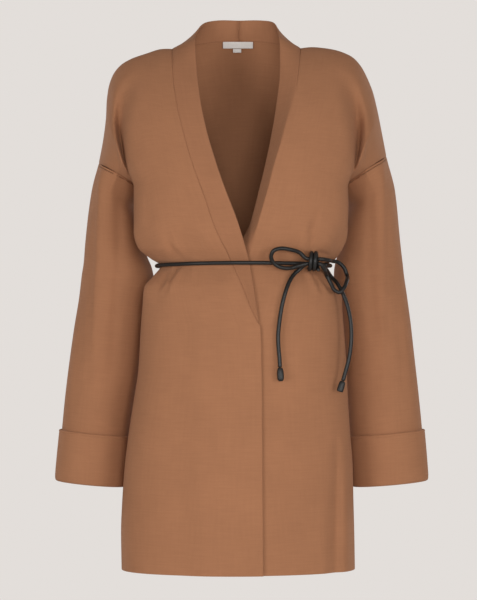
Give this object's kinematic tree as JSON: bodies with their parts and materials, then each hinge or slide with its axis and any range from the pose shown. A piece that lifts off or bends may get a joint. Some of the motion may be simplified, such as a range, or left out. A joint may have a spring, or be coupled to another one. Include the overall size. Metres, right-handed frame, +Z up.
{
  "type": "tie-front cardigan",
  "caption": "Long open-front knit cardigan with a flat neckband, dropped shoulders, wide sleeves with turned-up cuffs and a cord belt tied in a bow.",
  "frame": {"origin": "midway between the two points where a shoulder seam meets the neckband, at the height of those points", "axes": "+Z up, +X towards the wearer's left, the front of the garment faces -Y"},
  "size_m": [0.6028, 0.2632, 0.8834],
  "materials": {
    "knit": "matte fine-gauge knit, camel brown",
    "knit_band": "matte double knit, camel brown",
    "belt_leather": "smooth black, soft sheen",
    "label_white": "woven tape, off-white, bare"
  },
  "bodies": {
    "root": {"back": "knit", "front_right": "knit", "front_left": "knit", "sleeve_right": "knit", "sleeve_left": "knit", "cuff_right": "knit", "cuff_left": "knit", "neckband_right": "knit_band", "neckband_left": "knit_band", "belt_waist": "belt_leather", "belt_knot": "belt_leather", "belt_loop_right": "belt_leather", "belt_loop_left": "belt_leather", "belt_tail_right": "belt_leather", "belt_tail_left": "belt_leather", "belt_tip_right": "belt_leather", "belt_tip_left": "belt_leather", "label": "label_white", "size_tab": "label_white"}
  },
  "joints": []
}
